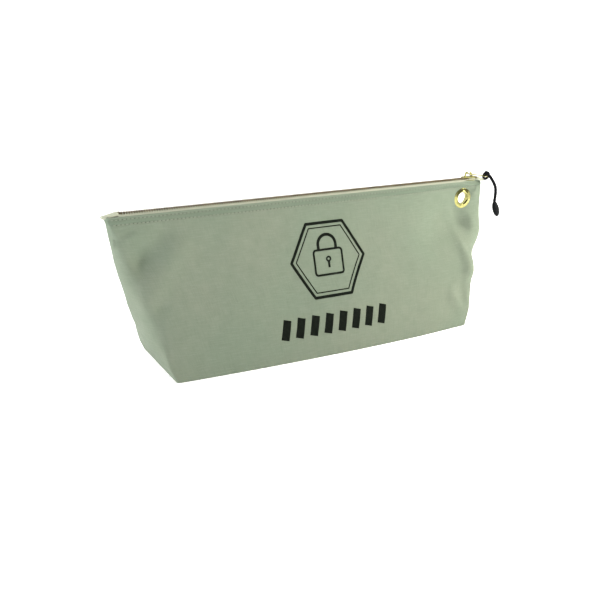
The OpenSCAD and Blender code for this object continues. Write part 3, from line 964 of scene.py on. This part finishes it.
def tab_piece(brass):
    """The pull tab: an eye round the bail's arch, a long blade, and a wider end with a hole for the cord."""
    pivot = np.array((middle("slider_bail").x, 0, hi("pull_tab").z - 0.8 * MM))
    way = np.array([cos(TAB_DROOP), 0, -sin(TAB_DROOP)])
    up = np.array([sin(TAB_DROOP), 0, cos(TAB_DROOP)])
    length = (hi("pull_tab").x - pivot[0]) / cos(TAB_DROOP) - 0.1 * MM
    hole_at, hole_r, slot_end = length - 1.6 * MM - 2.4 * MM, 2.35 * MM, 6.3 * MM
    half = 2.9 * MM
    stations = sorted(set(
        [-0.8 * MM, -0.6 * MM, 0, 1.5 * MM, 3 * MM, 5 * MM, slot_end - 0.5 * MM, slot_end]
        + [slot_end + 0.4 * MM, slot_end + 1.5 * MM, slot_end + 4 * MM, hole_at - 5 * MM, hole_at - 3.2 * MM]
        + [hole_at + hole_r * sin(t) for t in np.linspace(-pi / 2, pi / 2, 13)]
        + [length - 1.2 * MM, length - 0.6 * MM, length - 0.15 * MM, length]
    ))

    def outside(s):
        """Half width of the tab: full at the eye and at the cord's hole, a waist between, a round end."""
        ends = smooth(slot_end + 5 * MM, slot_end, s) + smooth(hole_at - 6 * MM, hole_at - 1 * MM, s)
        waist = 0.80 + 0.20 * float(ends)
        end = sqrt(max(0.0, 1 - (max(0.0, s - length + 1.6 * MM) / (1.75 * MM)) ** 2))
        return half * min(1.0, waist) * mix(0.55, 1.0, end)

    def inside(s):
        """Half width of the eye's slot or of the cord's hole."""
        if s <= slot_end:
            return 1.6 * MM * sqrt(max(0.0, 1 - (max(0.0, s - slot_end + 1 * MM) / (1 * MM)) ** 2))
        return sqrt(max(0.0, hole_r ** 2 - (s - hole_at) ** 2))

    solids = []
    for side in (-1, 1):
        points, faces = [], []
        for s in stations:
            inner = min(inside(s), outside(s) - 0.4 * MM)
            for y, z in ((inner, -0.6), (outside(s), -0.6), (outside(s), 0.6), (inner, 0.6)):
                points.append(pivot + s * way + (0, side * y, 0) + z * MM * up)
        for r in range(len(stations) - 1):
            for c in range(4):
                if c == 3 and inside(stations[r]) < 0.01 * MM and inside(stations[r + 1]) < 0.01 * MM:
                    continue
                a, b = r * 4 + c, r * 4 + (c + 1) % 4
                faces.append((a, b, b + 4, a + 4))
        last = (len(stations) - 1) * 4
        faces += [(0, 3, 2, 1), (last, last + 1, last + 2, last + 3)]
        solids.append((points, faces))
    blade = bevelled("tab_blade", parts(*solids)[:2], brass, 0.22 * MM)
    line = [pivot + (0, y * MM, 0) for y in (-2.9, -2.7, 0, 2.7, 2.9)]
    pin = tube(line, np.array([0.6, 0.8, 0.8, 0.8, 0.6]) * MM, 20)
    return blade, piece("tab_pin", pin, brass, 40)


def braided(path, radius, sides=24):
    """A tube whose surface rises and falls with the strands of a braid."""
    points, faces, uvs = tube(path, radius, sides)
    points = points.reshape(len(path), sides, 3)
    way = np.arange(len(path))[:, None] * 0.55
    turn = np.arange(sides)[None] * 2 * pi / sides * 4
    lift = 0.12 * MM * np.maximum(np.cos(way + turn), np.cos(way - turn))
    centre = np.asarray(path)[:, None]
    points = points + unit(points - centre) * (lift[..., None] - 0.1 * MM)
    return points.reshape(-1, 3), faces, uvs


def cord_pieces(black, moulding):
    """The braided cord, its loop through the tab, the whipping that binds them, the moulded tip, and the
    cord's route."""
    route = spline(np.array(PULL_CORD) * MM, 0.35 * MM)
    cord = piece("braided_cord", braided(route, CORD_D / 2), black)
    a, b = lo("cord_loop"), hi("cord_loop")
    centre, major = np.array(middle("cord_loop")), (b.z - a.z) / 2 - CORD_D / 2
    ring = [centre + major * np.array([cos(t), 0, sin(t)]) for t in np.linspace(0, 2 * pi, 65)[:-1]]
    ring = tube(ring + ring[:1], CORD_D / 2 - 0.1 * MM, 20, caps=False, across=(0, 1, 0))
    loop = piece("cord_knot_loop", ring, black)
    way = unit(route[8] - route[4])
    side = unit(np.cross(way, (0, 0, 1)))
    up = np.cross(side, way)
    wraps, rise, knot_r = 2.6, 1.5 * MM, CORD_D / 2 + 0.35 * MM
    knot = []
    for t in np.linspace(0, wraps * 2 * pi, 110):
        centre = route[5] + way * (t / (2 * pi) - wraps / 2) * rise
        knot.append(centre + knot_r * (cos(t) * side + sin(t) * up))
    whipping = piece("cord_whipping", tube(knot, 0.75 * MM, 10), black)
    way = np.array([sin(TIP_TILT), 0, -cos(TIP_TILT)])
    stations = np.linspace(0, 1, 37)
    shape = np.interp(stations, (0, 0.05, 0.12, 0.28, 0.48, 0.70, 0.86, 0.95, 1.0),
                      (2.3, 2.8, 3.2, 3.95, 4.25, 3.9, 3.1, 2.2, 1.0))
    grip = 0.13 * np.sin(stations * 2 * pi * 7) * smooth(0.2, 0.3, stations) * smooth(0.8, 0.7, stations)
    path = [route[-1] + way * TIP_LENGTH * t for t in stations]
    tip = piece("cord_moulding", tube(path, (shape + grip) * MM, 28, 0.82, (1, 0, 0)), moulding, 50)
    return cord, loop, whipping, tip, route


# ---- grommet
def grommet_pieces(brass):
    """The eyelet, rolled over at both faces of the pressed canvas, and the washer behind it."""
    front, back = lo("grommet_eyelet").y, hi("grommet_eyelet").y
    face = front + 0.9 * MM
    eyelet = arc(HOLE_R + 1.5 * MM, front + 1.0 * MM, 1.5 * MM, 180, 290, 12)
    eyelet += [(FLANGE_R - 1.6 * MM, front + 0.4 * MM)]
    eyelet += arc(FLANGE_R - 0.45 * MM, face - 0.15 * MM, 0.45 * MM, -70, 90, 7)
    eyelet += [(HOLE_R + 2.2 * MM, face + 0.1 * MM), (HOLE_R + 0.65 * MM, face + 0.9 * MM)]
    eyelet += [(HOLE_R + 0.65 * MM, back - 1.3 * MM)]
    eyelet += [(HOLE_R + 1.8 * MM, back - 1.25 * MM), (HOLE_R + 1.95 * MM, back - 0.7 * MM)]
    eyelet += arc(HOLE_R + 1.0 * MM, back - 0.95 * MM, 0.95 * MM, 40, 180, 8)
    low, high = lo("grommet_washer").y, hi("grommet_washer").y
    ring = [(HOLE_R + 0.75 * MM, low + 0.2 * MM), (HOLE_R + 0.9 * MM, low), (FLANGE_R - 0.2 * MM, low)]
    ring += arc(FLANGE_R - 0.5 * MM, low + 0.5 * MM, 0.5 * MM, -40, 80, 6)
    ring += [(FLANGE_R - 2.2 * MM, high - 0.1 * MM), (HOLE_R + 2.6 * MM, high)]
    ring += [(HOLE_R + 1.2 * MM, high - 0.35 * MM), (HOLE_R + 0.75 * MM, high - 0.6 * MM)]
    made = [piece(name, lathe(line), brass, 50) for name, line in (("eyelet", eyelet), ("washer_ring", ring))]
    for each in made:
        fix_normals(each)
    return made


# ---- print
def strip(line, width, closed=False):
    """A thin layer of ink of the given width along a line of (x, distance below the fold) points."""
    line = np.array(line, float)
    if closed:
        line = np.concatenate([line, line[:1]])
    at = along_line(line)
    even = np.linspace(0, at[-1], max(3, int(at[-1] / (1.2 * MM))))
    even = np.unique(np.concatenate([even, at]))
    path = sampled(even, at, line)
    if closed:
        way = unit(np.roll(path[:-1], -1, axis=0) - np.roll(path[:-1], 1, axis=0))
        way = np.concatenate([way, way[:1]])
    else:
        way = unit(np.gradient(path, axis=0))
    left = np.stack([-way[:, 1], way[:, 0]], 1)
    offsets = np.linspace(-width / 2, width / 2, max(2, int(width / (1.3 * MM)) + 2))
    flat = np.stack([path + o * left for o in offsets])
    top, low = [], []
    for row in flat:
        found = [on_wall(x, d, 0.14 * MM) for x, d in row]
        top.append([p for p, _ in found])
        low.append([p - 0.34 * MM * n for p, n in found])
    return shell(np.array(top), np.array(low), flat)


def print_piece(ink):
    """A plain printed mark: two hexagons round a closed padlock, over a row of slanted bars."""
    cx, cy = 3 * MM, 64 * MM
    solids = []
    for radius, width in ((44 * MM, 3.0 * MM), (38.5 * MM, 1.2 * MM)):
        solids.append(strip(arc(cx, cy, radius, 0, -300, 6), width, closed=True))
    w, h, corner = 17 * MM, 13 * MM, 3 * MM
    body_y = cy + 16 * MM - h
    body = []
    for i, (p, q) in enumerate(((1, 1), (-1, 1), (-1, -1), (1, -1))):
        at = (cx + p * (w - corner), body_y + q * (h - corner))
        body += arc(*at, corner, 90 * i, 90 * (i + 1), 5)
    solids.append(strip(body, 2.2 * MM, closed=True))
    top, bow = body_y - h, 10.5 * MM
    shackle = [(cx + bow, top)] + arc(cx, top - 5 * MM, bow, 0, -180, 22) + [(cx - bow, top)]
    solids.append(strip(shackle, 3.2 * MM))
    solids.append(strip(arc(cx, top + 10 * MM, 2.2 * MM, 0, -342), 1.8 * MM, closed=True))
    solids.append(strip([(cx, top + 12 * MM), (cx, top + 19 * MM)], 2.4 * MM))
    for i in range(8):
        x = mix(-61 * MM, 56 * MM, i / 7)
        solids.append(strip([(x, 139.5 * MM), (x + 5.5 * MM, 119.5 * MM)], 9.0 * MM))
    return piece("print_mark", parts(*solids), ink)


# ---- everything in place
HALVES = {                                # start and end points for each half of the back; only the halves' names are read
    "left": {"start": (-0.190, 0, 0), "end": (-0.082, 0, 0)},
    "right": {"start": (0.172, 0, 0), "end": (0.042, 0, 0)},
}
SPLIT_X = -0.02                           # where the halves meet, fully on the back wall
HEM_INSET = 3 * MM                        # from the bag's ends to the first and last stitch


def fit(made, body, slot, *nodes):
    """Puts a piece on its body, in the place of the nodes that it stands for, which it hides; slot is not
    used.
    A half of the back only has its transform baked, and is put on no body."""
    if body in HALVES:
        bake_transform(made)
    else:
        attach(made, body)
    if nodes:
        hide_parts(*nodes)
    return made


def sew(name, side, low_x, high_x, body, nodes):
    """The stitches, and dark discs of painted shade in their needle holes, along one stretch of the hem."""
    sewn, shaded_holes = stitches(side, max(low_x, HEM_INSET - TOP_HALF), min(high_x, TOP_HALF - HEM_INSET))
    rows = fit(piece(name, sewn, thread), body, "thread", *nodes)
    hole_shades = piece(name.replace("hem_stitches", "needle_hole_shades"), shaded_holes, hole_shade)
    return [rows, fit(hole_shades, body, "thread")]


bpy.context.scene.view_settings.view_transform = "Standard"
set_camera()
set_stage()
set_lights()
canvas = canvas_material(True)
tape_cloth = tape_material()
thread, hole_shade = thread_material(), hole_shade_material()
bright = brass_material("bright_brass", (0.34, 0.325, 0.12), (0.13, 0.125, 0.045), 0.17)
antique = brass_material("tooth_brass", (0.17, 0.14, 0.08), (0.07, 0.058, 0.035), 0.45)

cord, loop, whipping, tip, route = cord_pieces(cord_material(), tip_material())
fit(cord, "pull_cord", "cord", "pull_cord")
fit(loop, "pull_cord", "cord", "cord_loop")
fit(whipping, "pull_cord", "cord")
fit(tip, "pull_cord", "tip", "cord_tip")

front = canvas_piece("front_canvas", np.arange(FRONT_END + 1), canvas)
fit(front, "bag", "canvas", "front_panel", "left_end", "right_end", "grommet_corner")
floor_cloth = fit(floor_piece(canvas_material(False)), "bag", "canvas", "floor_panel")
tapes = [fit(tape_piece("front_zip_tape", -1, ZIP_LEFT, ZIP_RIGHT, tape_cloth), "bag", "tape", "front_tape")]
teeth = parts(*(tooth(x, -1) for x in teeth_at("front_teeth")))[:2]
fit(piece("front_tooth_row", teeth, antique, 50), "bag", "brass", "front_teeth")
on_front = [
    fit(end_tab_piece(node + "_fold", node, toward, tape_cloth), "bag", "canvas", node)
    for node, toward in (("left_end_tab", -1), ("right_end_tab", 1))
]
on_front += sew("front_hem_stitches", -1, -TOP_HALF, TOP_HALF, "bag", ["front_hem_thread"])
on_front.append(fit(print_piece(ink_material()), "bag", None))

split = FRONT_END + int(round((FLOOR_HALF + 0.01 - SPLIT_X) / (2 * FLOOR_HALF + 0.02) * FACE_COLUMNS))
for half, low_x, high_x, columns in (
    ("left", -TOP_HALF, SPLIT_X, np.append(np.arange(split, LOOP), 0)),
    ("right", SPLIT_X, TOP_HALF, np.arange(FRONT_END, split + 1)),
):
    # the left half stands for the nodes of the whole back
    whole = [["back_panel"], ["back_tape"], ["back_teeth"], ["back_hem_thread"]]
    panel, tape_node, row_node, sewn_node = whole if half == "left" else [[]] * 4
    back = fit(canvas_piece("back_canvas_" + half, columns, canvas), half, "canvas", *panel)
    tape_ends = max(low_x, ZIP_LEFT), min(high_x, ZIP_RIGHT)
    tape = tape_piece("back_zip_tape_" + half, 1, *tape_ends, tape_cloth)
    tapes.append(fit(tape, half, "tape", *tape_node))
    teeth = parts(*(tooth(x, 1) for x in teeth_at("back_teeth") if low_x <= x < high_x))[:2]
    fit(piece("back_tooth_row_" + half, teeth, antique, 50), half, "brass", *row_node)
    on_back = sew("back_hem_stitches_" + half, 1, low_x, high_x, half, sewn_node)

for node, body in (("bottom_stop", "bag"), ("front_top_stop", "bag"), ("back_top_stop", "right")):
    fit(stop_piece(node + "_crimp", node, antique), body, "brass", node)
fit(slider_piece(bright), "slider", "brass", "slider_body")
fit(bail_piece(bright), "slider", "brass", "slider_bail")
blade, pin = tab_piece(bright)
fit(blade, "pull_tab", "brass", "pull_tab")
fit(pin, "pull_tab", "brass")
eyelet, washer = grommet_pieces(bright)
fit(eyelet, "bag", "brass", "grommet_eyelet")
fit(washer, "bag", "brass", "grommet_washer")
